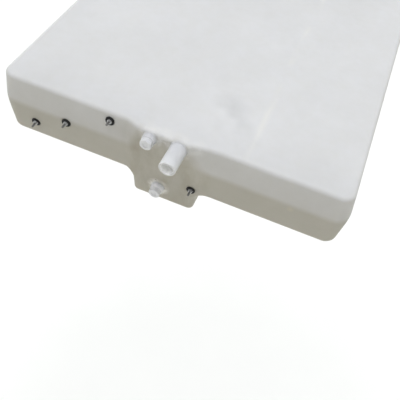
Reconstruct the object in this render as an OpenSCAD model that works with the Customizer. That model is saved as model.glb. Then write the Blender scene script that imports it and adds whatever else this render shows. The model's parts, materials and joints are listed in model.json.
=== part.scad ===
// Flat under-floor fresh water tank: a hollow moulded shell with a front sump, a fill spigot,
// a plugged vent port, a plugged drain port and four level probes.
// Origin: centre of the flat underside. +X right, -Y front (fittings), +Z up. Millimetres.

/* [Tank] */
// Width across the widest band
tank_w = 762; // [700:1:900]
// Length from front to rear
tank_l = 1220; // [900:10:1500]
// Height from the flat underside to the top
body_h = 147; // [147:1:160]
// Wall thickness
wall = 5; // [4.5:0.5:6]
// Plan radius of the four vertical corners
corner_r = 34; // [32:1:45]
// Radius of the top edge
top_round = 12; // [8:1:13]
// Radius of the bottom edge
bottom_round = 10; // [8:1:12]
// How far the top stands in from the widest band
top_inset = 8; // [6:0.5:10]
// How far the bottom stands in from the widest band
bottom_inset = 6.5; // [5:0.5:8]
// Height of the lower edge of the widest band
band_low = 70; // [60:1:72]
// Height of the upper edge of the widest band
band_high = 87; // [86:1:92]

/* [Fitting pad and sump] */
// Left edge of the pad
pad_left = -93; // [-105:1:-91]
// Right edge of the pad
pad_right = 94; // [88:1:104]
// Steepness of the pad's left side, rise over run
left_rise = 0.35; // [0.33:0.01:0.45]
// Steepness of the pad's right side, rise over run
right_rise = 0.17; // [0.16:0.01:0.25]
// How far the pad stands in front of the widest band
pad_out = 3; // [2:0.5:5]
// Lean of the pad's lower part, in degrees
pad_lean = 3; // [2:0.5:4]
// Centre of the sump across the front
sump_x = -7; // [-9:1:-3]
// Width of the sump at its root
sump_w = 148; // [140:1:152]
// Length of the sump, front to rear
sump_l = 250; // [200:5:400]
// Depth of the sump below the flat underside
sump_d = 62; // [50:1:70]

/* [Fill spigot] */
// Outside diameter of the fill spigot
fill_od = 35; // [33:0.5:36]
// Bore of the fill spigot
fill_id = 26.4; // [24:0.2:27]
// Length of the spigot in front of the pad
fill_len = 57; // [50:1:80]

/* [Vent and drain ports] */
// Outside diameter of a port's boss
boss_od = 28; // [27:0.5:29]
// Height of the boss in front of the pad
boss_len = 12; // [11:0.5:14]
// Radius of the port's bore
port_r = 9.6; // [9:0.1:9.8]
// Advance of a plug for each turn
plug_lead = 1.8; // [1.5:0.1:2]
// Width across the flats of a plug's hexagon
plug_af = 24; // [22:1:25]
// Length of a plug's hexagon
plug_head = 9; // [8:1:10]

/* [Level probes] */
// Diameter of a probe's rubber collar
collar_od = 19.5; // [18:0.5:20]
// Diameter of a probe's stud
stud_d = 5; // [4.6:0.1:5.2]
// Reach of a stud in front of the wall
stud_out = 17; // [15:1:18]

/* [Hidden] */
skin = 0.05;                            // thickness of the slices that the hulls join
front_y = -tank_l / 2;                  // plane of the widest band's front
pad_y = front_y - pad_out;              // plane of the pad's upright upper part
pad_bend = (band_low + band_high) / 2;  // height where the pad's face begins to lean
pad_r = 8;                              // plan radius of the pad's corners
pad_depth = 40;                         // how far the pad's block reaches into the body
sump_r = 12;                            // plan radius of the sump's corners
sump_draft = 3;                         // taper of the sump's sides, in degrees
shoulder = 14;                          // flare of the sump's root, out and down

weld_out = 1.5;                         // weld flange of a fitting, in front of the wall
weld_in = 4;                            // and sunk into the wall
weld_gap = 0.05;
weld_wide = 2;                          // flange beyond the fitting's outside radius
nose_in = wall + 1;                     // how far a fitting's nose reaches through the wall
nose_gap = 0.2;
nose_wall = 2.5;                        // wall of a fitting's nose around its bore
thread_gap = 0.08;                      // radial clearance of a plug in its port
plug_washer_t = 1.5;
plug_washer_od = 26;
plug_grip = 5 * plug_lead;              // length of a plug's shank in its port: five turns
plug_dish_r = 6.5;                      // shallow dish in the end of a plug's head
plug_dish = 1.5;

probe_hole_r = 5.6;
neck_gap = 0.1;
collar_t = 3;
bulb_r = 7.5;                           // rubber behind the wall
bulb_l = 6;
bulb_room = 1;                          // the wall's inside stands at least this far from a bulb
clamp_r = 4.9;                          // radius of a probe's steel washer
clamp_t = 1;
nut_af = 8;                             // width across the flats of a probe's nut
nut_t = 2.7;
probe_head_r = 5;
probe_head_t = 2.4;
bore_gap = 0.1;                         // diametral clearance around a stud
through = 20;                           // length that takes a cut clean through a wall

// Lean of the walls above and below the widest band, in degrees
upper_lean = atan(top_inset / (body_h - band_high));
lower_lean = atan(bottom_inset / band_low);

// The pad's face at a height, and the front wall beside it
function pad_face_y(z) = pad_y + max(0, pad_bend - z) * tan(pad_lean);
function front_wall_y(z) = front_y
    + max(0, band_low - z) * tan(lower_lean)
    + max(0, z - band_high) * tan(upper_lean);

// Places on the front, each [x, y, z, how far its outward direction leans down]
fill_at = [23, pad_y, 127, 0];
vent_at = [-38, pad_y, 129, 0];
drain_at = [-17.5, pad_face_y(-17), -17, pad_lean];
probe_sump_at = [57.5, pad_face_y(16), 16, pad_lean];
probe_low_at = [-305, front_wall_y(43), 43, lower_lean];
probe_mid_at = [-228, front_y, 78.5, 0];
probe_full_at = [-128.5, front_wall_y(126), 126, -upper_lean];

// Edge roundings and wall profiles as [height, inset] pairs from the bottom up
round_steps = [90, 60, 30, 0];
function low_edge(r, inset) = [for (a = round_steps) [r * (1 - sin(a)), inset + r * (1 - cos(a))]];
function high_edge(r, inset) = [for (i = [3:-1:0]) let (a = round_steps[i])
    [body_h - r * (1 - sin(a)), inset + r * (1 - cos(a))]];
body_profile = concat(low_edge(bottom_round, bottom_inset), high_edge(top_round, top_inset));
pad_profile = concat([[0, 0], [pad_bend, 0]], high_edge(top_round, 0));

// A thin upright disc for a hull: it stands on z, or hangs from it in the upper half
module slice(x, y, z, r) {
    translate([x, y, z > pad_bend ? z - skin : z]) cylinder(r = r, h = skin, $fn = 24);
}

// Turns local +Z into the outward direction at a place on the front
module on_front(at) {
    translate([at[0], at[1], at[2]]) rotate([90 + at[3], 0, 0]) children();
}

// The body of the tank, drawn in by t all round
module body_form(t) {
    hull() for (sx = [-1, 1], sy = [-1, 1]) {
        x = sx * (tank_w / 2 - corner_r);
        y = sy * (tank_l / 2 - corner_r);
        translate([x, y, band_low]) cylinder(r = corner_r - t, h = band_high - band_low, $fn = 24);
        for (p = body_profile) slice(x, y, min(max(p[0], t), body_h - t), corner_r - p[1] - t);
    }
}

// The pad that carries the fittings, drawn in by t
module pad_form(t) {
    hull() for (p = pad_profile, side = [[pad_left, left_rise], [pad_right, -right_rise]]) {
        z = min(max(p[0], t), body_h - t);
        rise = front_wall_y(z) - pad_face_y(z);
        slice(side[0] + rise / side[1], pad_face_y(z) + p[1] + pad_r, z, pad_r - t);
        for (deep = [1, pad_depth])
            slice(side[0], front_wall_y(z) + p[1] + pad_r + deep, z, pad_r - t);
    }
}

// The sump under the pad, drawn in by t: each level is [height, inset of the rounded bottom]
module sump_form(t) {
    levels = [[2 * wall, 0], [sump_r - sump_d, 0], [3.5 - sump_d, 3.5], [-sump_d, 10]];
    hull() for (level = levels, sx = [-1, 1], rear = [0, 1]) {
        z = max(level[0], t - sump_d);
        draw = level[1] + max(0, -z) * tan(sump_draft);
        slice(sump_x + sx * (sump_w / 2 - sump_r - draw),
            pad_face_y(z) + sump_r + level[1] + rear * (sump_l - 2 * sump_r - draw - level[1]),
            z, sump_r - t);
    }
}

// The shoulder that flares the sump's root into the flat underside
module sump_shoulder() {
    hull() for (level = [[wall, shoulder], [-shoulder, 0]], sx = [-1, 1], rear = [0, 1])
        slice(sump_x + sx * (sump_w / 2 - sump_r + level[1]),
            pad_face_y(level[0]) + sump_r + rear * (sump_l - 2 * sump_r + level[1]),
            level[0], sump_r);
}

// The cut for a welded fitting: a hole for its nose and a seat for its flange
module fitting_cut(at, nose_r, flange_r) {
    on_front(at) {
        translate([0, 0, -through]) cylinder(r = nose_r + nose_gap, h = 2 * through, $fn = 64);
        translate([0, 0, -weld_in]) cylinder(r = flange_r + weld_gap, h = through, $fn = 64);
    }
}

module tank_shell() {
    color("whitesmoke") difference() {
        union() {
            body_form(0);
            pad_form(0);
            sump_form(0);
            sump_shoulder();
        }
        body_form(wall);
        pad_form(wall);
        sump_form(wall);
        fitting_cut(fill_at, fill_id / 2 + nose_wall, fill_od / 2 + weld_wide);
        for (at = [vent_at, drain_at]) fitting_cut(at, port_r + nose_wall, boss_od / 2 + weld_wide);
        for (at = [probe_sump_at, probe_low_at, probe_mid_at, probe_full_at]) on_front(at) {
            translate([0, 0, -through]) cylinder(r = probe_hole_r, h = 2 * through, $fn = 48);
            translate([0, 0, -through]) cylinder(r = bulb_r + bulb_room, h = through - nose_in, $fn = 48);
        }
    }
}

// A welded fitting: nose, flange and an upright barrel with a through bore
module welded_fitting(at, od, bore_r, height) {
    on_front(at) difference() {
        union() {
            translate([0, 0, -weld_in]) cylinder(r = od / 2 + weld_wide, h = weld_in + weld_out, $fn = 64);
            translate([0, 0, -nose_in]) cylinder(r = bore_r + nose_wall, h = nose_in, $fn = 64);
            cylinder(d = od, h = height, $fn = 64);
        }
        translate([0, 0, -through]) cylinder(r = bore_r, h = height + 2 * through, $fn = 64);
    }
}

module fill_spigot() {
    color("white") welded_fitting(fill_at, fill_od, fill_id / 2, fill_len);
}

module port(at) {
    color("ivory") welded_fitting(at, boss_od, port_r, boss_len);
}

// Hexagon plug with a chamfered, dished head: its shank fills the port's bore
module plug(at) {
    color("white") on_front(at) translate([0, 0, boss_len + plug_washer_t]) {
        difference() {
            intersection() {
                cylinder(d = plug_af / cos(30), h = plug_head, $fn = 6);
                cylinder(r1 = plug_af, r2 = plug_af / 2, h = plug_head, $fn = 64);
            }
            translate([0, 0, plug_head - plug_dish])
                cylinder(r1 = plug_dish_r - plug_dish, r2 = plug_dish_r + plug_dish,
                    h = 2 * plug_dish, $fn = 64);
        }
        translate([0, 0, -plug_washer_t - plug_grip])
            cylinder(r = port_r - thread_gap, h = plug_grip + plug_washer_t + 1, $fn = 64);
    }
}

// Sealing washer between a plug's head and its boss
module plug_washer(at) {
    color("gray") on_front(at) translate([0, 0, boss_len]) difference() {
        cylinder(d = plug_washer_od, h = plug_washer_t, $fn = 64);
        translate([0, 0, -1]) cylinder(r = port_r + thread_gap, h = plug_washer_t + 2, $fn = 64);
    }
}

// Rubber grommet: a collar outside the wall, a neck in its hole and a bulb behind it
module probe_grommet(at) {
    color("black") on_front(at) difference() {
        union() {
            cylinder(d = collar_od, h = collar_t, $fn = 48);
            translate([0, 0, -nose_in]) cylinder(r = probe_hole_r - neck_gap, h = nose_in, $fn = 48);
            translate([0, 0, -nose_in - bulb_l]) cylinder(r = bulb_r, h = bulb_l, $fn = 48);
        }
        translate([0, 0, -through]) cylinder(d = stud_d + bore_gap, h = 2 * through, $fn = 32);
    }
}

// Steel stud with a flat head behind the grommet
module probe_stud(at) {
    color("dimgray") on_front(at) translate([0, 0, -nose_in - bulb_l]) {
        cylinder(d = stud_d, h = nose_in + bulb_l + stud_out, $fn = 32);
        translate([0, 0, -probe_head_t]) cylinder(r = probe_head_r, h = probe_head_t, $fn = 48);
    }
}

module probe_washer(at) {
    color("silver") on_front(at) translate([0, 0, collar_t]) difference() {
        cylinder(r = clamp_r, h = clamp_t, $fn = 48);
        translate([0, 0, -1]) cylinder(d = stud_d + 4 * bore_gap, h = clamp_t + 2, $fn = 32);
    }
}

module probe_nut(at) {
    color("gray") on_front(at) translate([0, 0, collar_t + clamp_t]) difference() {
        cylinder(d = nut_af / cos(30), h = nut_t, $fn = 6);
        translate([0, 0, -1]) cylinder(d = stud_d + bore_gap, h = nut_t + 2, $fn = 32);
    }
}

tank_shell();
fill_spigot();
port(vent_at);  // vent_port
plug(vent_at);  // vent_plug
plug_washer(vent_at);  // vent_plug_washer
port(drain_at);  // drain_port
plug(drain_at);  // drain_plug
plug_washer(drain_at);  // drain_plug_washer
probe_grommet(probe_sump_at);  // probe_sump_grommet
probe_stud(probe_sump_at);  // probe_sump_stud
probe_washer(probe_sump_at);  // probe_sump_washer
probe_nut(probe_sump_at);  // probe_sump_nut
probe_grommet(probe_low_at);  // probe_low_grommet
probe_stud(probe_low_at);  // probe_low_stud
probe_washer(probe_low_at);  // probe_low_washer
probe_nut(probe_low_at);  // probe_low_nut
probe_grommet(probe_mid_at);  // probe_mid_grommet
probe_stud(probe_mid_at);  // probe_mid_stud
probe_washer(probe_mid_at);  // probe_mid_washer
probe_nut(probe_mid_at);  // probe_mid_nut
probe_grommet(probe_full_at);  // probe_full_grommet
probe_stud(probe_full_at);  // probe_full_stud
probe_washer(probe_full_at);  // probe_full_washer
probe_nut(probe_full_at);  // probe_full_nut
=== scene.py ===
"""Looks of the flat fresh water tank: a moulded milky shell, welded fittings, plugs and level probes.

Shapes are worked out in millimetres, in the part's own frame, and go to metres when a mesh is made.
"""
import json
import math

import bpy
import numpy as np
from mathutils import Matrix, Vector


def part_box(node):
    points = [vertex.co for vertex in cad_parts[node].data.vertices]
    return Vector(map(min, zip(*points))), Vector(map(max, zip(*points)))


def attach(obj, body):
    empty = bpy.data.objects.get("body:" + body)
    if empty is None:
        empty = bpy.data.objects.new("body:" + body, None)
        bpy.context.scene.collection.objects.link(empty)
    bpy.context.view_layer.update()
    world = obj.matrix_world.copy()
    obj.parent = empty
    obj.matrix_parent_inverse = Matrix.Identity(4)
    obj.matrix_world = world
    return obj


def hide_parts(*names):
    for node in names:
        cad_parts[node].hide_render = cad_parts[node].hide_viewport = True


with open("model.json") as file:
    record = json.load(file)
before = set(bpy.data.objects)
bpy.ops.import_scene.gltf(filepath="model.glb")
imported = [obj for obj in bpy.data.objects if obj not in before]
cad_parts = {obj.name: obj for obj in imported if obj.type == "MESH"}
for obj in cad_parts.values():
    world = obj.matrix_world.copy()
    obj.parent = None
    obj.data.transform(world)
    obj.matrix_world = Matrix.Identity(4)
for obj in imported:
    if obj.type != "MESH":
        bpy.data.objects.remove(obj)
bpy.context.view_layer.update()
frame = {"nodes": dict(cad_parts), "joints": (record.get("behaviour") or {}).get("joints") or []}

MM = 0.001

# ---------------------------------------------------------------- sizes of the shell, in millimetres
shell_low, shell_high = (np.array(corner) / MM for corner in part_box("tank_shell"))
HALF_W = shell_high[0]
REAR = shell_high[1]
FRONT = -REAR                       # plane of the widest band's front
TOP = shell_high[2]
SUMP_BOTTOM = shell_low[2]
PAD_PLANE = shell_low[1]            # plane of the pad's upright upper part
WALL = 5.0
CORNER_R, TOP_R, BOTTOM_R = 34.0, 9.5, 10.0
BAND_LOW, BAND_HIGH = 70.0, 87.0    # the walls are widest between these heights
LOWER_IN, UPPER_IN = 6.5, 8.0       # how far they stand in from there at the bottom and at the top
LOWER_RISE = LOWER_IN / BAND_LOW
UPPER_RISE = UPPER_IN / (TOP - BAND_HIGH)
PAD_BEND = (BAND_LOW + BAND_HIGH) / 2
PAD_LEAN = math.tan(math.radians(3))
PAD_LEFT, PAD_RIGHT = -93.0, 94.0
LEFT_RISE, RIGHT_RISE = 0.35, 0.17  # how steeply the pad's two sides stand out of the wall
SUMP_X, SUMP_HALF_W, SUMP_REAR = -7.0, 74.0, -359.0
SUMP_CORNER_R, SUMP_BOTTOM_R, SUMP_ROOT_R = 14.0, 12.0, 22.0
SUMP_DRAFT = math.tan(math.radians(3))
TOP_SAG, SIDE_BOW = 1.3, 0.8        # how far the flat walls sink in at their middles

# ---------------------------------------------------------------- places of the fittings


def node_points(node):
    """A CAD node's vertices, in millimetres."""
    return np.array([v.co for v in frame["nodes"][node].data.vertices]) / MM


class Place:
    """A spot on the wall: an origin on it, in millimetres, and the outward direction."""

    def __init__(self, origin, out):
        self.origin = np.array(origin, float)
        self.out = np.array(out, float) / np.linalg.norm(out)
        self.across = np.array([1.0, 0.0, 0.0])
        self.up = np.cross(self.out, self.across)

    def put(self, points):
        """Points given as across, up and out, moved to the part's frame."""
        return self.origin + points @ np.array([self.across, self.up, self.out])


def port_place(port):
    """A port's place, from the joint that turns its plug."""
    joint = next(j for j in frame["joints"] if j["name"] == port + "_plug_turn")
    return Place(np.array(joint["pos_m"]) / MM, joint["axis"])


COLLAR_T = 3.0


def probe_place(probe):
    """A probe's place: its stud gives the axis, and its collar's face stands COLLAR_T off the wall."""
    stud = node_points(f"probe_{probe}_stud")
    centre = stud.mean(axis=0)
    axis = np.linalg.svd(stud - centre)[2][0]
    out = axis if axis[1] < 0 else -axis
    collar = (node_points(f"probe_{probe}_grommet") - centre) @ out
    return Place(centre + out * (collar.max() - COLLAR_T), out)


fill_low, fill_high = (np.array(corner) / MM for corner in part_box("fill_spigot"))
fill_middle = (fill_low + fill_high) / 2
FILL_PLACE = Place([fill_middle[0], PAD_PLANE, fill_middle[2]], [0, -1, 0])
FILL_LENGTH = PAD_PLANE - fill_low[1]
PORT_PLACES = {port: port_place(port) for port in ("vent", "drain")}
PROBE_PLACES = {probe: probe_place(probe) for probe in ("sump", "low", "mid", "full")}

# ---------------------------------------------------------------- rounding and blending of surfaces
# A surface is a function of x, y and z: negative inside, positive outside, and close to a distance.


def soft_min(a, b, k):
    h = np.maximum(k - np.abs(a - b), 0) / k
    return np.minimum(a, b) - h * h * k / 4


def soft_max(a, b, k):
    return -soft_min(-a, -b, k)


def round_both(a, b, r):
    """Inside both, with the edge between them rounded to radius r."""
    corner = np.hypot(np.maximum(a + r, 0), np.maximum(b + r, 0))
    return np.minimum(np.maximum(a, b), -r) + corner


def fillet_either(a, b, r):
    """Inside either, with the inner corner between them filled to radius r."""
    corner = np.hypot(np.maximum(r - a, 0), np.maximum(r - b, 0))
    return np.maximum(np.minimum(a, b), r) - corner


# ---------------------------------------------------------------- the shell as a surface


def wall_in(z):
    """How far the walls stand in from the widest band at a height."""
    below = soft_max((BAND_LOW - z) * LOWER_RISE, 0, 1.0)
    above = soft_max((z - BAND_HIGH) * UPPER_RISE, 0, 1.0)
    return below + above


def front_in(x, z):
    """How far the front wall, with its pad, stands behind the front of the widest band."""
    wall = wall_in(np.maximum(z, 0)) + np.maximum(-z, 0) * PAD_LEAN
    face = soft_max((PAD_BEND - z) * PAD_LEAN, 0, 1.0) + PAD_PLANE - FRONT
    left = wall - LEFT_RISE * (x - PAD_LEFT)
    right = wall - RIGHT_RISE * (PAD_RIGHT - x)
    pad = soft_max(soft_max(left, right, 2.0), face, 3.0)
    return soft_min(wall, pad, 1.5)


def top_height(x, y):
    """The top sinks a little towards its middle, and is not quite even."""
    middle = np.maximum(1 - (x / HALF_W) ** 2, 0) * np.maximum(1 - (y / REAR) ** 2, 0)
    wave = 0.5 + 0.25 * np.sin(x / 95 + 1.0) + 0.25 * np.sin(y / 130 + x / 260)
    return TOP - TOP_SAG * middle * (0.6 + 0.8 * wave) / 1.4


def outer(x, y, z):
    inset = wall_in(np.clip(z, 0, TOP))
    bow = SIDE_BOW * np.maximum(1 - (y / REAR) ** 2, 0)
    side = np.abs(x) - (HALF_W - inset - bow)
    end = np.maximum(FRONT + front_in(x, z) - y, y - (REAR - inset))
    plan = round_both(side, end, CORNER_R - inset)
    body = round_both(plan, z - top_height(x, y), TOP_R)
    draw = SUMP_DRAFT * np.maximum(-z, 0)
    sump_plan = round_both(np.abs(x - SUMP_X) - (SUMP_HALF_W - draw), y - (SUMP_REAR - draw), SUMP_CORNER_R)
    sump = round_both(sump_plan, SUMP_BOTTOM - z, SUMP_BOTTOM_R)
    underside = fillet_either(sump, -z, SUMP_ROOT_R)
    return round_both(body, underside, BOTTOM_R)


FILL_NOSE_R, PORT_NOSE_R, PROBE_HOLE_R = 15.7, 12.1, 5.6
HOLES = [(FILL_PLACE, FILL_NOSE_R)]
HOLES += [(place, PORT_NOSE_R) for place in PORT_PLACES.values()]
HOLES += [(place, PROBE_HOLE_R) for place in PROBE_PLACES.values()]
HOLE_DEPTH = 30.0


def shell(x, y, z):
    """The hollow shell with the holes for its fittings."""
    skin = outer(x, y, z)
    solid = np.maximum(skin, -(skin + WALL))
    for place, radius in HOLES:
        offset = [x - place.origin[0], y - place.origin[1], z - place.origin[2]]
        along = sum(o * c for o, c in zip(offset, place.out))
        off_axis = np.sqrt(sum(o * o for o in offset) - along * along)
        solid = np.maximum(solid, -np.maximum(off_axis - radius, -along - HOLE_DEPTH))
    return solid


# ---------------------------------------------------------------- from a surface to a mesh


GROWTH = 0.45                       # how fast the spacing grows away from a zone


def graded(low, high, zones, coarse):
    """Lines from low to high: each zone is (start, end, spacing), and the spacing grows away from it."""
    lines = [low]
    while lines[-1] < high:
        at = lines[-1]
        away = [step + GROWTH * max(start - at, at - end, 0) for start, end, step in zones]
        lines.append(at + min(away + [coarse]))
    return np.array(lines)


def slopes(surface, p, h=0.02):
    """The surface's gradient at each point."""
    columns = []
    for axis in range(3):
        step = np.zeros(3)
        step[axis] = h
        columns.append((surface(*(p + step).T) - surface(*(p - step).T)) / (2 * h))
    return np.stack(columns, axis=1)


def net(surface, xs, ys, zs, settle=6):
    """A closed quad mesh of surface = 0: one vertex in each cell that the surface crosses."""
    lines = (xs, ys, zs)
    value = surface(*np.meshgrid(xs, ys, zs, indexing="ij"))
    inside = value < 0
    corners = [(i, j, k) for i in (0, 1) for j in (0, 1) for k in (0, 1)]
    shape = tuple(n - 1 for n in value.shape)
    ni, nj, nk = shape
    count = sum(inside[i:i + ni, j:j + nj, k:k + nk].astype(int) for i, j, k in corners)
    cells = np.argwhere((count > 0) & (count < 8))
    number = -np.ones(shape, int)
    number[tuple(cells.T)] = np.arange(len(cells))

    total, crossings = np.zeros((len(cells), 3)), np.zeros((len(cells), 1))
    for axis in range(3):
        for start in [c for c in corners if c[axis] == 0]:
            first = cells + start
            second = first + np.eye(3, dtype=int)[axis]
            a, b = value[tuple(first.T)], value[tuple(second.T)]
            crossed = (a < 0) != (b < 0)
            share = np.where(crossed, a / np.where(crossed, a - b, 1), 0)[:, None]
            start_at, end_at = (np.stack([lines[n][corner[:, n]] for n in range(3)], axis=1)
                                for corner in (first, second))
            total += np.where(crossed[:, None], start_at + share * (end_at - start_at), 0)
            crossings += crossed[:, None]
    points = total / crossings
    for _ in range(settle):
        slope = slopes(surface, points)
        step = (surface(*points.T) / np.maximum((slope ** 2).sum(axis=1), 0.25))[:, None] * slope
        points -= np.clip(step, -1.0, 1.0)

    quads = []
    for axis in range(3):
        u, v = [n for n in range(3) if n != axis]
        flat = np.moveaxis(inside, (axis, u, v), (0, 1, 2))
        edges = np.argwhere(flat[:-1, 1:-1, 1:-1] != flat[1:, 1:-1, 1:-1])
        grid = np.moveaxis(number, (axis, u, v), (0, 1, 2))
        a, b, c = edges.T
        around = [grid[a, b, c], grid[a, b + 1, c], grid[a, b + 1, c + 1], grid[a, b, c + 1]]
        quad = np.stack(around, axis=1)
        outward = flat[:-1, 1:-1, 1:-1][a, b, c]
        if axis == 1:
            outward = ~outward
        quads.append(np.where(outward[:, None], quad, quad[:, ::-1]))
    return points, np.concatenate(quads)


def new_object(name, points, faces, sharp_angle=30):
    """A smooth-shaded mesh object from points in millimetres, with edges sharper than sharp_angle kept."""
    mesh = bpy.data.meshes.new(name)
    mesh.from_pydata((np.asarray(points) * MM).tolist(), [], [list(map(int, f)) for f in faces])
    mesh.validate()
    mesh.polygons.foreach_set("use_smooth", [True] * len(mesh.polygons))
    mesh.set_sharp_from_angle(angle=math.radians(sharp_angle))
    piece = bpy.data.objects.new(name, mesh)
    bpy.context.scene.collection.objects.link(piece)
    return piece


# ---------------------------------------------------------------- turned, hexagonal and threaded shapes
# Each gives (points, faces) in a place's own directions: across, up and out.


def loft(rings, closed):
    """Joins rings of points in order, and closes the loop of rings or caps its two ends."""
    n = len(rings[0])
    points = np.concatenate(rings)
    starts = [k * n for k in range(len(rings))]
    pairs = list(zip(starts, starts[1:])) + ([(starts[-1], starts[0])] if closed else [])
    faces = [(a + i, a + (i + 1) % n, b + (i + 1) % n, b + i) for a, b in pairs for i in range(n)]
    if not closed:
        points = np.concatenate([points, [rings[0].mean(axis=0)], [rings[-1].mean(axis=0)]])
        first, last = len(points) - 2, len(points) - 1
        faces += [(first, (i + 1) % n, i) for i in range(n)]
        faces += [(last, starts[-1] + i, starts[-1] + (i + 1) % n) for i in range(n)]
    return points, faces


def ring(radius, height, n):
    """One ring of n points: radius and height are numbers, or functions of the angle."""
    turn = np.arange(n) * 2 * math.pi / n
    r = radius(turn) if callable(radius) else np.full(n, float(radius))
    h = height(turn) if callable(height) else np.full(n, float(height))
    return np.stack([r * np.cos(turn), r * np.sin(turn), h], axis=1)


def rounded(corners, steps=5):
    """The outline through corners of (radius, height, rounding), as (radius, height) points."""
    outline = []
    for k, (r, h, rounding) in enumerate(corners):
        here = np.array([r, h], float)
        before = np.array(corners[k - 1][:2], float) - here
        after = np.array(corners[(k + 1) % len(corners)][:2], float) - here
        if rounding == 0:
            outline.append(here)
            continue
        before, after = before / np.linalg.norm(before), after / np.linalg.norm(after)
        half = math.acos(np.clip(before @ after, -1, 1)) / 2
        middle = here + (before + after) / np.linalg.norm(before + after) * rounding / math.sin(half)
        start = here + before * rounding / math.tan(half) - middle
        end = here + after * rounding / math.tan(half) - middle
        sweep = math.atan2(start[0] * end[1] - start[1] * end[0], start @ end)
        for s in range(steps + 1):
            cos, sin = math.cos(sweep * s / steps), math.sin(sweep * s / steps)
            outline.append(middle + [start[0] * cos - start[1] * sin, start[0] * sin + start[1] * cos])
    return outline


def turned(corners, n=96):
    """A ring-shaped solid: the closed outline through corners, anticlockwise in r and h, about the axis."""
    return loft([ring(r, h, n) for r, h in rounded(corners)], closed=True)


def hexagon(across_flats, soften):
    """The radius of a hexagon's side at an angle, its six edges slightly rounded."""
    def radius(turn):
        off = (turn + math.pi / 6) % (math.pi / 3) - math.pi / 6
        edge = across_flats / 2 / np.cos(off)
        return soft_min(edge, across_flats / math.sqrt(3) - soften, soften * 2)
    return radius


FACE_SHARE = 0.97                   # a hexagon's flat face, against its width across flats
CHAMFER_SLOPE = math.tan(math.radians(30))
BORE_EDGE = 0.4                     # the small chamfer at a bore's two ends
DISH_EDGE, DISH_LIP, DISH_FLARE = 0.4, 0.3, 0.8


def plug_head(across_flats, low, high, dish_r, depth, soften, n=96):
    """A plug's hexagonal head from low to high, its outer face chamfered, with a shallow dish in it."""
    side = hexagon(across_flats, soften)
    lip = across_flats / 2 * FACE_SHARE

    def upper(turn):
        return high - np.maximum(side(turn) - lip, 0) * CHAMFER_SLOPE

    rings = [ring(side, low, n), ring(side, upper, n), ring(lip, high, n), ring(dish_r + DISH_EDGE, high, n),
             ring(dish_r, high - DISH_LIP, n), ring(dish_r - depth * DISH_FLARE, high - depth, n)]
    return loft(rings, closed=False)


def hex_nut(across_flats, low, high, bore, soften=0.25, n=96):
    """A hexagon nut from low to high, both faces chamfered, with its bore's edges broken."""
    side = hexagon(across_flats, soften)
    lip = across_flats / 2 * FACE_SHARE

    def rise(turn):
        return np.maximum(side(turn) - lip, 0) * CHAMFER_SLOPE

    rings = [ring(lip, low, n), ring(side, lambda turn: low + rise(turn), n),
             ring(side, lambda turn: high - rise(turn), n), ring(lip, high, n),
             ring(bore + BORE_EDGE, high, n), ring(bore, high - BORE_EDGE, n),
             ring(bore, low + BORE_EDGE, n), ring(bore + BORE_EDGE, low, n)]
    return loft(rings, closed=True)


FLANK, CREST = 1.6, 0.3             # how steep a thread's flanks are, and how wide its flat crest is
TIP_TAPER = 0.9


def thread(radius, low, high, pitch, depth, tip, n=32, per_turn=8):
    """A right-handed threaded rod from low to high: its end tapers to tip below the thread's root."""
    heights = np.arange(low, high, pitch / per_turn)
    rings = []
    for h in list(heights) + [high]:
        def cut(turn, h=h):
            phase = (h / pitch - turn / (2 * math.pi)) % 1
            groove = np.clip(FLANK * (1 - np.abs(2 * phase - 1)) - CREST, 0, 1) * depth
            return np.minimum(radius - groove, radius - depth - tip + (high - h) * TIP_TAPER)
        rings.append(ring(cut, h, n))
    return loft(rings, closed=False)


BEAD_WAVES = (2, 3, 5, 8, 13)       # how many lumps each of a weld bead's waves has round it
BEAD_INSIDE, BEAD_UNDER, BEAD_SUNK = 0.3, 1.2, 0.15


def bead(place, radius, width, height, seed, n=128, across=7):
    """The uneven ring of melted plastic where a fitting was welded in: it lies on the wall's surface."""
    rng = np.random.default_rng(seed)
    waves = [(k, rng.uniform(0.3, 1.0) / math.sqrt(k), rng.uniform(0, 2 * math.pi)) for k in BEAD_WAVES]
    turn = np.arange(n) * 2 * math.pi / n
    uneven = sum(size * np.sin(k * turn + phase) for k, size, phase in waves)
    uneven = uneven / np.abs(uneven).max()
    tops, bottoms = [], []
    for share in np.linspace(0, 1, across):
        r = radius - BEAD_INSIDE + width * share * (1 + 0.22 * uneven)
        flat = np.stack([r * np.cos(turn), r * np.sin(turn), np.zeros(n)], axis=1)
        sunk = sink(place, flat)
        lift = height * (1 - share ** 1.6) * (1 + 0.35 * uneven * (0.4 + 0.6 * share))
        tops.append(np.stack([flat[:, 0], flat[:, 1], sunk + lift - BEAD_SUNK], axis=1))
        bottoms.append(np.stack([flat[:, 0], flat[:, 1], sunk - BEAD_UNDER], axis=1))
    return loft(tops[::-1] + bottoms, closed=True)


def sink(place, flat):
    """How far out of the place's own plane the shell's surface lies under each point, so 0 or less."""
    height = np.full(len(flat), 3.0)
    for _ in range(40):
        points = place.put(np.column_stack([flat[:, :2], height]))
        height -= np.clip(outer(*points.T), -1.5, 1.5) * 0.8
    return height


# ---------------------------------------------------------------- materials


# The Mix node's colour sockets go by number, because several of its sockets share a name.
COLOUR_A, COLOUR_B, COLOUR_OUT = 6, 7, 2


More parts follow.
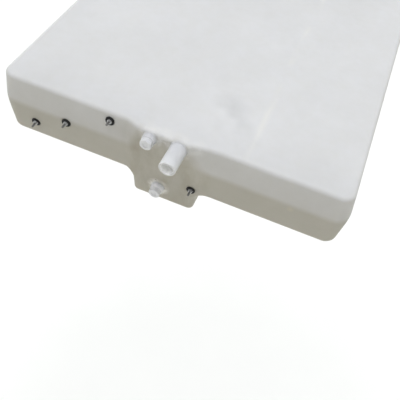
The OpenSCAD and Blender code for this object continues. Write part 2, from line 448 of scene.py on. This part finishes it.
class Paint:
    """A material: its shader, and a short way to add nodes in object space."""

    def __init__(self, name, **settings):
        self.material = bpy.data.materials.new(name)
        self.material.use_nodes = True
        self.tree = self.material.node_tree
        self.shader = self.tree.nodes["Principled BSDF"]
        for key, value in settings.items():
            self.shader.inputs[key.replace("_", " ")].default_value = value
        self.place = self.node("ShaderNodeTexCoord").outputs["Object"]

    def node(self, kind, **settings):
        made = self.tree.nodes.new(kind)
        for key, value in settings.items():
            setattr(made, key, value)
        return made

    def feed(self, socket, value):
        """Links an input to another node's output, or sets it to a fixed value."""
        if isinstance(value, bpy.types.NodeSocket):
            self.tree.links.new(value, socket)
        else:
            socket.default_value = value

    def fill(self, node, **inputs):
        """Feeds a node's inputs by name, with _ for a space."""
        for key, value in inputs.items():
            self.feed(node.inputs[key.replace("_", " ")], value)
        return node

    def noise(self, scale, detail=3.0, roughness=0.5, place=None):
        made = self.fill(self.node("ShaderNodeTexNoise"), Vector=place or self.place, Scale=scale,
                         Detail=detail, Roughness=roughness)
        return made.outputs["Fac"]

    def stretch(self, x, y, z):
        """The object's own coordinates, scaled along each axis."""
        return self.fill(self.node("ShaderNodeMapping"), Vector=self.place, Scale=(x, y, z)).outputs["Vector"]

    def span(self, value, low, high, to_low=0.0, to_high=1.0):
        """value mapped from low..high to to_low..to_high, and held at the ends."""
        made = self.fill(self.node("ShaderNodeMapRange", clamp=True), Value=value)
        for key, number in zip(("From Min", "From Max", "To Min", "To Max"), (low, high, to_low, to_high)):
            made.inputs[key].default_value = number
        return made.outputs["Result"]

    def maths(self, operation, a, b=0.0):
        made = self.node("ShaderNodeMath", operation=operation)
        self.feed(made.inputs[0], a)
        self.feed(made.inputs[1], b)
        return made.outputs["Value"]

    def times(self, a, b):
        return self.maths("MULTIPLY", a, b)

    def mix(self, share, a, b, blend="MIX"):
        """Colour a turned into b, or blended with it, by a share from 0 to 1."""
        made = self.node("ShaderNodeMix", data_type="RGBA", blend_type=blend)
        self.feed(made.inputs["Factor"], share)
        self.feed(made.inputs[COLOUR_A], a)
        self.feed(made.inputs[COLOUR_B], b)
        return made.outputs[COLOUR_OUT]

    def near(self, x, y, z, reach, softness, place=None):
        """1 near a point given in metres, falling to 0 at reach."""
        made = self.node("ShaderNodeVectorMath", operation="DISTANCE")
        self.feed(made.inputs[0], place or self.place)
        self.feed(made.inputs[1], (x, y, z))
        return self.span(made.outputs["Value"], reach * (1 - softness), reach, 1.0, 0.0)

    def axis(self, name):
        return self.fill(self.node("ShaderNodeSeparateXYZ"), Vector=self.place).outputs[name]

    def facing(self, axis):
        """How far the surface faces along an axis of the object: 1 along it, 0 across it, -1 against it."""
        facing = self.node("ShaderNodeTexCoord").outputs["Normal"]
        return self.fill(self.node("ShaderNodeSeparateXYZ"), Vector=facing).outputs[axis]

    def bump(self, layers):
        """Each layer is (height, strength, distance in metres)."""
        normal = None
        for height, strength, distance in layers:
            made = self.fill(self.node("ShaderNodeBump"), Height=height, Strength=strength, Distance=distance)
            if normal:
                self.fill(made, Normal=normal)
            normal = made.outputs["Normal"]
        self.fill(self.shader, Normal=normal)

    def colour(self, value):
        self.fill(self.shader, Base_Color=value)

    def rough(self, value):
        self.fill(self.shader, Roughness=value)


def grey(value, tint=(1, 1, 1)):
    return (value * tint[0], value * tint[1], value * tint[2], 1.0)


# Marks on the shell. Places and reaches are in metres, and a weight is how much of the mark's colour shows.
RUB_X, RUB_NARROW, RUB_WIDE = 0.153, 0.001, 0.011
# Dark blotches of painted shade on the top: x, y, reach and weight.
SHADE_BLOTCHES = ((0.077, -0.474, 0.052, 0.34), (0.108, -0.526, 0.048, 0.34), (0.02, -0.40, 0.035, 0.15))
# Pale patches round the fittings are weld melt; those on the pad's top edge are also a painted highlight.
MELTS_AND_HIGHLIGHTS = (                                # x, y, z, reach, weight and how pale
    (0.023, -0.6105, 0.127, 0.031, 0.55, 0.76), (-0.038, -0.6105, 0.129, 0.028, 0.6, 0.76),
    (-0.0175, -0.608, -0.017, 0.028, 0.6, 0.85), (-0.010, -0.609, 0.142, 0.026, 0.45, 0.72),
    (0.012, -0.598, 0.147, 0.024, 0.3, 0.66), (-0.052, -0.598, 0.147, 0.022, 0.3, 0.66),
    (0.058, -0.608, 0.140, 0.024, 0.3, 0.70))
# Dark patches on the pad: smears, and the one at x 0.038, z 0.088 is a painted shadow of the fill tube.
SMEAR_AND_SHADOW_Y = -0.606
SMEARS_AND_SHADOW = (                               # x, z, reach and weight
    (-0.082, 0.112, 0.042, 0.6), (-0.064, 0.085, 0.03, 0.4), (0.038, 0.088, 0.022, 0.3),
    (0.015, 0.150, 0.012, 0.4), (-0.060, 0.150, 0.010, 0.4))


def milky_plastic(paint):
    """The cloudy colour of the plastic itself."""
    cloud = paint.span(paint.noise(5.5, 4.0, 0.55), 0.3, 0.7)
    tone = paint.mix(cloud, grey(0.64, (1.0, 0.99, 0.965)), grey(0.68, (1.0, 0.99, 0.97)))
    mottle = paint.span(paint.noise(38.0, 5.0, 0.6), 0.35, 0.75)
    return paint.mix(paint.times(mottle, 0.22), tone, grey(0.57, (1.0, 0.98, 0.89)))


def top_marks(paint, tone):
    """Grey blotches of painted shade on the top, and the broken line where something has rubbed along it."""
    patches = paint.noise(17.0, 1.5, 0.5)
    # Painted shade: soft dark blotches on the top.
    for x, y, reach, weight in SHADE_BLOTCHES:
        mark = paint.times(paint.near(x, y, TOP * MM, reach, 0.9), paint.span(patches, 0.35, 0.6))
        tone = paint.mix(paint.times(mark, weight), tone, grey(0.42, (1.0, 1.0, 0.98)))
    off_line = paint.maths("ABSOLUTE", paint.maths("SUBTRACT", paint.axis("X"), RUB_X))
    rub = paint.span(off_line, RUB_NARROW, RUB_WIDE, 1.0, 0.0)
    broken = paint.span(paint.noise(9.0, 2.0, 0.5, paint.stretch(3.0, 1.0, 1.0)), 0.45, 0.62)
    on_top = paint.span(paint.facing("Z"), 0.8, 0.95, 0.0, 0.3)
    return paint.mix(paint.times(paint.times(rub, broken), on_top), tone, grey(0.8, (1.0, 0.975, 0.88)))


def painted_wall_shade(paint, tone):
    """Painted shade and light: dims what lies low, what does not face up and what is near the front, and
    warms the walls a little as a painted warm bounce from below.
    """
    # Painted shade: darker lower down the walls.
    low_shade = paint.span(paint.axis("Z"), 0.085, 0.150, 0.35, 0.0)
    tone = paint.mix(low_shade, tone, grey(0.86, (1.0, 0.99, 0.97)), "MULTIPLY")
    # Painted shade: darker wherever the surface does not face up, most at the rims and on the walls.
    rim_shade = paint.span(paint.facing("Z"), 0.45, 0.97, 1.0, 0.0)
    tone = paint.mix(rim_shade, tone, grey(0.83, (1.0, 0.995, 0.975)), "MULTIPLY")
    near_front = paint.span(paint.axis("Y"), -0.60, -0.50, 1.0, 0.0)
    tone = paint.mix(near_front, tone, grey(0.955, (1.0, 1.0, 1.005)), "MULTIPLY")
    # Painted light: a warm tint on upright faces stands in for warm light bounced up from below.
    upright = paint.span(paint.facing("Z"), 0.2, 0.6, 1.0, 0.0)
    return paint.mix(upright, tone, grey(1.015, (1.0, 0.993, 0.972)), "MULTIPLY")


def painted_lower_shade(paint, tone):
    """Painted shade: darkens and warms what faces down or straight to the side, and streaks the front of the
    pad and the sump where that shade lies.
    """
    # Painted shade: an olive darkening of faces that look sideways or down.
    under = paint.span(paint.facing("Z"), -0.02, 0.11, 1.0, 0.0)
    tone = paint.mix(under, tone, grey(0.81, (1.0, 0.971, 0.885)), "MULTIPLY")
    streak = paint.span(paint.noise(42.0, 5.0, 0.65, paint.stretch(1.0, 1.0, 0.45)), 0.40, 0.62)
    on_pad = paint.span(paint.maths("ABSOLUTE", paint.axis("X")), 0.080, 0.100, 1.0, 0.0)
    forward = paint.span(paint.facing("Y"), -0.6, -0.3, 1.0, 0.0)
    # The streaks lie only within the painted shade.
    stain = paint.times(paint.times(streak, paint.times(on_pad, forward)), under)
    return paint.mix(paint.times(stain, 0.7), tone, grey(0.86, (1.0, 0.98, 0.92)), "MULTIPLY")


def weld_marks_highlight_and_shadow(paint, tone):
    """Pale melted plastic round the welded fittings, with a painted highlight where it lies on the pad's top
    edge, and dark smears beside it, one of them a painted shadow of the fill tube.
    """
    lump = paint.span(paint.noise(75.0, 4.0, 0.6), 0.4, 0.6)
    for x, y, z, reach, weight, pale in MELTS_AND_HIGHLIGHTS:
        # Pale melt round the fittings; on the pad's top edge it is also a painted highlight.
        melt_and_highlight = paint.times(paint.near(x, y, z, reach, 0.6), paint.maths("ADD", lump, 0.6))
        tone = paint.mix(paint.times(melt_and_highlight, weight), tone, grey(pale, (1.0, 0.98, 0.93)))
    for x, z, reach, weight in SMEARS_AND_SHADOW:
        # Dark smears on the pad; the one below and right of the fill tube is a painted shadow.
        smear_and_shadow = paint.times(paint.near(x, SMEAR_AND_SHADOW_Y, z, reach, 0.9), weight)
        tone = paint.mix(smear_and_shadow, tone, grey(0.80, (1.0, 0.97, 0.90)), "MULTIPLY")
    return tone


def small_marks(paint, tone):
    """A dark speck above the drain, and a yellowed spot on the front wall."""
    speck = paint.near(-0.023, -0.609, 0.004, 0.0022, 0.6)
    tone = paint.mix(paint.times(speck, 0.75), tone, grey(0.14, (1.0, 0.95, 0.85)))
    yellow = paint.near(0.266, -0.610, 0.073, 0.010, 0.9)
    return paint.mix(paint.times(yellow, 0.35), tone, grey(0.55, (1.0, 0.93, 0.68)))


def natural_polyethylene():
    paint = Paint("natural_polyethylene", Subsurface_Weight=0.35, Subsurface_Scale=0.012,
                  Specular_IOR_Level=0.22)
    paint.shader.inputs["Subsurface Radius"].default_value = (1.0, 0.95, 0.8)
    tone = milky_plastic(paint)
    for marks in (top_marks, painted_wall_shade, painted_lower_shade, weld_marks_highlight_and_shadow, small_marks):
        tone = marks(paint, tone)
    paint.colour(tone)
    paint.rough(paint.span(paint.noise(60.0, 4.0, 0.6), 0.3, 0.7, 0.55, 0.7))
    scuff = paint.noise(420.0, 2.0, 0.5, paint.stretch(1.0, 0.12, 1.0))
    paint.bump([(paint.noise(700.0, 2.0), 0.12, 0.0004), (paint.noise(90.0, 3.0), 0.10, 0.0012),
                (scuff, 0.05, 0.0003)])
    return paint.material


# Painted light: the inside of the fill spigot's bore is made paler than the tube.
BORE_LIGHT_X, BORE_LIGHT_Z, BORE_LIGHT_REACH = 0.023, 0.127, 0.0134      # the inside of the fill spigot, in metres


def white_polyethylene():
    paint = Paint("white_polyethylene", Subsurface_Weight=0.9, Subsurface_Scale=0.014, Specular_IOR_Level=0.3)
    paint.shader.inputs["Subsurface Radius"].default_value = (1.0, 1.0, 0.95)
    cloud = paint.span(paint.noise(60.0, 4.0), 0.35, 0.7)
    tone = paint.mix(cloud, grey(0.60, (1, 1, 1.0)), grey(0.63, (1, 1, 1.005)))
    # Painted light: the drain's boss, lowest on the wall, is made much paler to brighten it where it lies in
    # shade.
    low = paint.span(paint.axis("Z"), 0.02, 0.06, 1.0, 0.0)
    tone = paint.mix(low, tone, grey(0.92, (1.0, 0.99, 0.975)))
    # Painted shade: faces that look forward, the fittings' outer ends, are darkened.
    end = paint.span(paint.facing("Y"), -0.9, -0.45, 1.0, 0.0)
    tone = paint.mix(end, tone, grey(0.80, (1.0, 0.99, 0.975)), "MULTIPLY")
    # Painted light: the bore of the fill spigot turns paler inside.
    bore = paint.near(BORE_LIGHT_X, 0.0, BORE_LIGHT_Z, BORE_LIGHT_REACH, 0.02, paint.stretch(1.0, 0.0, 1.0))
    paint.colour(paint.mix(bore, tone, grey(0.93, (1.0, 0.99, 0.98))))
    paint.rough(paint.span(paint.noise(300.0, 3.0), 0.3, 0.7, 0.32, 0.45))
    drawn = paint.noise(900.0, 2.0, 0.5, paint.stretch(1.0, 0.08, 1.0))
    paint.bump([(drawn, 0.10, 0.0002), (paint.noise(220.0, 3.0), 0.08, 0.0004)])
    return paint.material


def white_nylon():
    paint = Paint("white_nylon", Subsurface_Weight=0.25, Subsurface_Scale=0.005, IOR=1.53)
    paint.shader.inputs["Subsurface Radius"].default_value = (1.0, 0.98, 0.9)
    cloud = paint.span(paint.noise(110.0, 4.0), 0.35, 0.7)
    paint.colour(paint.mix(cloud, grey(0.62), grey(0.67, (1.0, 1.0, 1.0))))
    paint.rough(paint.span(paint.noise(400.0, 3.0), 0.3, 0.7, 0.28, 0.4))
    paint.bump([(paint.noise(260.0, 3.0), 0.10, 0.0004)])
    return paint.material


def seal_rubber():
    paint = Paint("seal_rubber", IOR=1.45)
    cloud = paint.span(paint.noise(300.0, 4.0), 0.35, 0.7)
    paint.colour(paint.mix(cloud, grey(0.68), grey(0.74, (1, 1, 0.98))))
    paint.rough(paint.span(paint.noise(500.0, 2.0), 0.3, 0.7, 0.55, 0.7))
    paint.bump([(paint.noise(900.0, 2.0), 0.2, 0.0002)])
    return paint.material


def black_rubber():
    paint = Paint("black_rubber", Specular_IOR_Level=0.25)
    dust = paint.span(paint.noise(260.0, 5.0, 0.65), 0.45, 0.75)
    paint.colour(paint.mix(paint.times(dust, 0.5), grey(0.012), grey(0.035, (1, 0.98, 0.92))))
    paint.rough(paint.span(paint.noise(500.0, 3.0), 0.3, 0.7, 0.55, 0.75))
    paint.bump([(paint.noise(1300.0, 3.0), 0.25, 0.0002)])
    return paint.material


def stainless_steel():
    paint = Paint("stainless_steel", Metallic=1.0)
    stain = paint.span(paint.noise(350.0, 4.0), 0.4, 0.7)
    paint.colour(paint.mix(stain, grey(0.26, (1, 0.99, 0.96)), grey(0.15, (1, 0.97, 0.92))))
    paint.rough(paint.span(paint.noise(700.0, 3.0), 0.3, 0.7, 0.28, 0.5))
    paint.bump([(paint.noise(1500.0, 2.0), 0.15, 0.0001)])
    return paint.material


def zinc_steel():
    paint = Paint("zinc_steel", Metallic=1.0)
    stain = paint.span(paint.noise(420.0, 4.0), 0.4, 0.7)
    paint.colour(paint.mix(stain, grey(0.66, (0.99, 1.0, 1.0)), grey(0.48, (1, 0.98, 0.94))))
    paint.rough(paint.span(paint.noise(900.0, 3.0), 0.3, 0.7, 0.3, 0.5))
    paint.bump([(paint.noise(1400.0, 2.0), 0.12, 0.0001)])
    return paint.material


PAINTS = {make.__name__: make() for make in (
    natural_polyethylene, white_polyethylene, white_nylon, seal_rubber, black_rubber, stainless_steel,
    zinc_steel)}


def add(name, place, shapes, slot, body, stands_for=(), sharp_angle=30):
    """One piece: its shapes put in place, painted, on its body and standing for its CAD nodes."""
    points, faces = [], []
    for shape_points, shape_faces in shapes:
        shift = sum(len(p) for p in points)
        points.append(place.put(shape_points) if place else shape_points)
        faces += [tuple(i + shift for i in face) for face in shape_faces]
    piece = new_object(name, np.concatenate(points), faces, sharp_angle)
    piece.data.materials.append(PAINTS[slot])
    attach(piece, body)
    if stands_for:
        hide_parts(*stands_for)


# ---------------------------------------------------------------- the shell


def span_round(place, axis, reach, step):
    """A zone of the lattice, along one axis, about a place."""
    return (place.origin[axis] - reach, place.origin[axis] + reach, step)


MARGIN = 3.0                         # how far the lattice reaches past the shell, and a zone past a hole
EDGE = CORNER_R + 6                  # how far in from the body's sides its rounded corners need small cells
FINE = 2.75                          # keeps a cell's diagonal under the wall's thickness
HOLE_STEP, PAD_STEP, BAND_STEP = 3.0, 5.0, 4.5
SUMP_STEP, FLOOR_STEP, RIM_STEP = 2.4, 2.6, 2.2
FLAT_STEP, WALL_STEP = 40.0, 9.0     # the widest spacing along the flats, and up the walls
SUMP_LEFT, SUMP_RIGHT = -58.0, 46.0  # the flat middle of the pad, between the sump's rounded sides

x_zones = [(-HALF_W - MARGIN, EDGE - HALF_W, FINE), (HALF_W - EDGE, HALF_W + MARGIN, FINE),
           (PAD_LEFT - 6, SUMP_LEFT, FINE), (SUMP_LEFT, SUMP_RIGHT, PAD_STEP), (SUMP_RIGHT, PAD_RIGHT, FINE)]
y_zones = [(PAD_PLANE - MARGIN, FRONT + EDGE, FINE), (REAR - EDGE, REAR + MARGIN, FINE),
           (SUMP_REAR - 18, SUMP_REAR + 24, FINE)]
z_zones = [(SUMP_BOTTOM - MARGIN, SUMP_BOTTOM + 16, SUMP_STEP), (-30, 14, FLOOR_STEP),
           (BAND_LOW - 10, BAND_HIGH + 10, BAND_STEP), (TOP - 20, TOP + MARGIN, RIM_STEP)]
for place, radius in HOLES:
    x_zones.append(span_round(place, 0, radius + MARGIN, HOLE_STEP))
    z_zones.append(span_round(place, 2, radius + MARGIN, HOLE_STEP))
lattice = (graded(-HALF_W - MARGIN, HALF_W + MARGIN, x_zones, FLAT_STEP),
           graded(PAD_PLANE - MARGIN, REAR + MARGIN, y_zones, FLAT_STEP),
           graded(SUMP_BOTTOM - MARGIN, TOP + MARGIN, z_zones, WALL_STEP))
add("tank_body", None, [net(shell, *lattice)], "natural_polyethylene", "tank", ["tank_shell"], sharp_angle=50)

# ---------------------------------------------------------------- fill spigot, ports, plugs and washers
FILL_R, FILL_BORE_R = 17.5, 13.2
BOSS_R, PORT_R, BOSS_LENGTH = 14.0, 9.6, 12.0
WELD_DEPTH, NOSE_DEPTH = 4.0, 6.0
SEAL_T, SEAL_R, THREAD_GAP = 1.5, 13.0, 0.1
PLUG_AF, PLUG_HEAD, PLUG_GRIP, PLUG_LEAD, PLUG_THREAD = 24.0, 9.0, 9.0, 1.8, 1.0
DISH_R, DISH = 6.5, 1.5
NOSE_GAP = 0.2                      # between a fitting's nose and the hole it sits in
WELD_WIDTH, FILL_WELD_H, PORT_WELD_H = 2.0, 2.2, 1.8
PLUG_EDGE, SHANK_LAP = 0.9, 0.5     # rounding of a plug's six edges, and how far its shank runs into its head
WELD_SEEDS = {"fill": 4, "vent": 11, "drain": 23}

fill_nose = FILL_NOSE_R - NOSE_GAP
spigot = turned([(FILL_BORE_R, -NOSE_DEPTH, 0), (fill_nose, -NOSE_DEPTH, 0), (fill_nose, -WELD_DEPTH, 0),
                 (FILL_R, -WELD_DEPTH, 0), (FILL_R, FILL_LENGTH, 0.9), (FILL_BORE_R, FILL_LENGTH, 0.7)],
                n=128)
fill_bead = bead(FILL_PLACE, FILL_R, WELD_WIDTH, FILL_WELD_H, WELD_SEEDS["fill"])
add("fill_tube", FILL_PLACE, [spigot], "white_polyethylene", "tank", ["fill_spigot"])
add("fill_weld", FILL_PLACE, [fill_bead], "natural_polyethylene", "tank")

port_nose = PORT_NOSE_R - NOSE_GAP
for port, place in PORT_PLACES.items():
    boss = turned([(PORT_R, -NOSE_DEPTH, 0), (port_nose, -NOSE_DEPTH, 0), (port_nose, -WELD_DEPTH, 0),
                   (BOSS_R, -WELD_DEPTH, 0), (BOSS_R, BOSS_LENGTH, 1.2), (PORT_R, BOSS_LENGTH, 0.5)])
    add(port + "_boss", place, [boss], "white_polyethylene", "tank", [port + "_port"])
    port_bead = bead(place, BOSS_R, WELD_WIDTH, PORT_WELD_H, WELD_SEEDS[port])
    add(port + "_weld", place, [port_bead], "natural_polyethylene", "tank")
    head_low = BOSS_LENGTH + SEAL_T
    washer = turned([(PORT_R + THREAD_GAP, BOSS_LENGTH, 0.2), (SEAL_R, BOSS_LENGTH, 0.4),
                     (SEAL_R, head_low, 0.4), (PORT_R + THREAD_GAP, head_low, 0.2)])
    add(port + "_seal_ring", place, [washer], "seal_rubber", port + "_seal", [port + "_plug_washer"])
    head = plug_head(PLUG_AF, head_low, head_low + PLUG_HEAD, DISH_R, DISH, PLUG_EDGE)
    shank = thread(PORT_R - THREAD_GAP, BOSS_LENGTH - PLUG_GRIP, head_low + SHANK_LAP, PLUG_LEAD,
                   PLUG_THREAD, tip=0.0, n=64)
    add(port + "_hex_plug", place, [head, shank], "white_nylon", port + "_screw", [port + "_plug"])

# ---------------------------------------------------------------- level probes
COLLAR_R, BULB_R, BULB_L = 9.75, 7.5, 6.0
STUD_R, STUD_OUT, STUD_PITCH, STUD_THREAD, STUD_TIP = 2.5, 17.0, 0.8, 0.42, 0.48
CLAMP_R, CLAMP_T, CLAMP_GAP, NUT_AF, NUT_T = 4.9, 1.0, 0.2, 8.0, 2.7
HEAD_R, HEAD_T, STUD_GAP = 5.0, 2.4, 0.05
NECK_GAP, RECESS_R, RECESS = 0.1, 5.2, 0.4     # the washer sits in a shallow recess in the collar
HEAD_ROUND, HEAD_SHOULDER = 0.8, 0.23

stud_bore = STUD_R + STUD_GAP
neck_r = PROBE_HOLE_R - NECK_GAP
bulb_end = -NOSE_DEPTH - BULB_L
clamp_low, nut_low = COLLAR_T - RECESS, COLLAR_T + CLAMP_T
stud_low = bulb_end - HEAD_T
for probe, place in PROBE_PLACES.items():
    grommet = turned([(stud_bore, bulb_end, 0.2), (BULB_R, bulb_end, 1.5), (BULB_R, -NOSE_DEPTH, 1.5),
                      (neck_r, -NOSE_DEPTH, 0), (neck_r, 0, 0), (COLLAR_R, 0, 0.6), (COLLAR_R, COLLAR_T, 1.3),
                      (RECESS_R + RECESS, COLLAR_T, 0.5), (RECESS_R, clamp_low, 0.1),
                      (stud_bore, clamp_low, 0)], n=64)
    add(f"{probe}_grommet", place, [grommet], "black_rubber", "tank", [f"probe_{probe}_grommet"])
    clamp = turned([(STUD_R + CLAMP_GAP, clamp_low, 0), (CLAMP_R, clamp_low, 0.3), (CLAMP_R, nut_low, 0.3),
                    (STUD_R + CLAMP_GAP, nut_low, 0)], n=64)
    add(f"{probe}_flat_washer", place, [clamp], "zinc_steel", "tank", [f"probe_{probe}_washer"])
    nut = hex_nut(NUT_AF, nut_low, nut_low + NUT_T, stud_bore)
    add(f"{probe}_hex_nut", place, [nut], "zinc_steel", "tank", [f"probe_{probe}_nut"])
    head = loft([ring(radius, height, 48) for radius, height in (
        (HEAD_R - HEAD_ROUND, stud_low), (HEAD_R - HEAD_SHOULDER, stud_low + HEAD_SHOULDER),
        (HEAD_R, stud_low + HEAD_ROUND), (HEAD_R, bulb_end))], closed=False)
    rod = thread(STUD_R, bulb_end, STUD_OUT, STUD_PITCH, STUD_THREAD, STUD_TIP)
    add(f"{probe}_stud", place, [head, rod], "stainless_steel", "tank", [f"probe_{probe}_stud"])

# ---------------------------------------------------------------- floor, light and camera


FLOOR_SIZE, FLOOR_DROP = 400.0, 4.0     # in metres: the floor lies well below, so the shadow on it is faint
CEILING_FROM, CEILING_TO = 0.18, 0.55   # where the walls turn to ceiling: 0 is the horizon and 1 is overhead


def studio_floor():
    paint = Paint("studio_floor", Roughness=0.9)
    cloud = paint.span(paint.noise(2.0, 2.0), 0.3, 0.7)
    paint.colour(paint.mix(cloud, grey(0.92, (1, 0.99, 0.94)), grey(0.93, (1, 0.99, 0.94))))
    bpy.ops.mesh.primitive_plane_add(size=FLOOR_SIZE, location=(0, 0, (SUMP_BOTTOM - 2) * MM - FLOOR_DROP))
    floor = bpy.context.object
    floor.name = "studio_floor"
    floor.data.materials.append(paint.material)


def soft_sun(name, toward, strength, spread, colour):
    """A broad, even light that shines from the direction toward, and spreads its shadows' edges."""
    data = bpy.data.lights.new(name, "SUN")
    data.energy = strength
    data.angle = math.radians(spread)
    data.color = colour
    lamp = bpy.data.objects.new(name, data)
    lamp.rotation_euler = Vector(toward).to_track_quat("Z", "Y").to_euler()
    bpy.context.scene.collection.objects.link(lamp)


def sky(overhead, around):
    """A soft room: pale walls all around that meet the floor, and a dimmer ceiling overhead."""
    world = bpy.data.worlds.new("soft_room")
    bpy.context.scene.world = world
    world.use_nodes = True
    nodes, links = world.node_tree.nodes, world.node_tree.links
    split = nodes.new("ShaderNodeSeparateXYZ")
    ramp = nodes.new("ShaderNodeMapRange")
    mix = nodes.new("ShaderNodeMix")
    mix.data_type = "RGBA"
    links.new(nodes.new("ShaderNodeTexCoord").outputs["Generated"], split.inputs["Vector"])
    links.new(split.outputs["Z"], ramp.inputs["Value"])
    ramp.inputs["From Min"].default_value = CEILING_FROM
    ramp.inputs["From Max"].default_value = CEILING_TO
    links.new(ramp.outputs["Result"], mix.inputs["Factor"])
    mix.inputs[COLOUR_A].default_value = around
    mix.inputs[COLOUR_B].default_value = overhead
    links.new(mix.outputs[COLOUR_OUT], nodes["Background"].inputs["Color"])


def camera(azimuth, down, roll, place, lens, shift):
    """A camera at place: azimuth 0 looks along +Y, down is below the horizon, roll is about its own view."""
    a, d, r = (math.radians(v) for v in (azimuth, down, roll))
    ahead = Vector((math.sin(a) * math.cos(d), math.cos(a) * math.cos(d), -math.sin(d)))
    level = Vector((math.cos(a), -math.sin(a), 0))
    upright = level.cross(ahead)
    right = level * math.cos(r) + upright * math.sin(r)
    up = upright * math.cos(r) - level * math.sin(r)
    data = bpy.data.cameras.new("camera")
    data.lens = lens
    data.sensor_width = 36.0
    data.shift_x, data.shift_y = shift
    data.clip_start, data.clip_end = 0.05, 60
    eye = bpy.data.objects.new("camera", data)
    eye.matrix_world = Matrix.Translation(place) @ Matrix((right, up, -ahead)).transposed().to_4x4()
    bpy.context.scene.collection.objects.link(eye)
    bpy.context.scene.camera = eye


studio_floor()
sky(overhead=grey(0.10, (0.93, 0.955, 1.0)), around=grey(1.0, (1.0, 1.0, 0.99)))
soft_sun("key", (-0.07, 0.02, 1.0), 3.04, 50, (0.93, 0.955, 1.0))
camera(azimuth=-10.32, down=52.66, roll=12.84, place=(0.25884, FRONT * MM - 0.67323, 0.90061), lens=48.144,
       shift=(-0.0615, 0.0168))
bpy.context.scene.view_settings.view_transform = "Standard"
